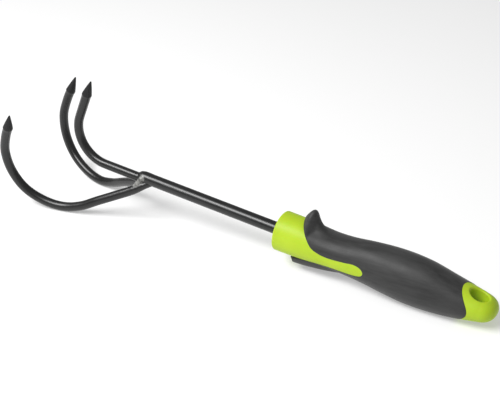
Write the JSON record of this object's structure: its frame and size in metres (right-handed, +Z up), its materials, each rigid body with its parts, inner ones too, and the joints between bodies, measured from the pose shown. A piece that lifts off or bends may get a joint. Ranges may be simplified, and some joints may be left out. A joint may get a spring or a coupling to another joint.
{
  "type": "hand cultivator",
  "caption": "Short-handled garden cultivator: hooked round tines with pencil points on a steel shaft, in a two-colour moulded grip with finger stop, thumb pad and hanging hole.",
  "frame": {"origin": "centre of the bottom of the bounding box, on the surface that the tool lies on", "axes": "+X from the tines to the handle's end, +Z up, which is the side that the tines' points turn to, and Y = 0 is the plane that both halves mirror about"},
  "size_m": [0.3382, 0.073, 0.0905],
  "materials": {
    "black_paint": "glossy black powder coat, worn matt on the points",
    "painted_weld": "glossy black powder coat over weld beads",
    "lime_plastic": "satin moulded lime green",
    "grey_soft_plastic": "matt fine-grained soft overmould, dark grey"
  },
  "bodies": {
    "root": {"shaft": "black_paint", "centre_tine": "black_paint", "left_tine": "black_paint", "right_tine": "black_paint", "left_weld": "painted_weld", "right_weld": "painted_weld", "top_weld": "painted_weld", "root_weld": "painted_weld", "handle_core": "lime_plastic", "grip_sleeve": "grey_soft_plastic"}
  },
  "joints": []
}
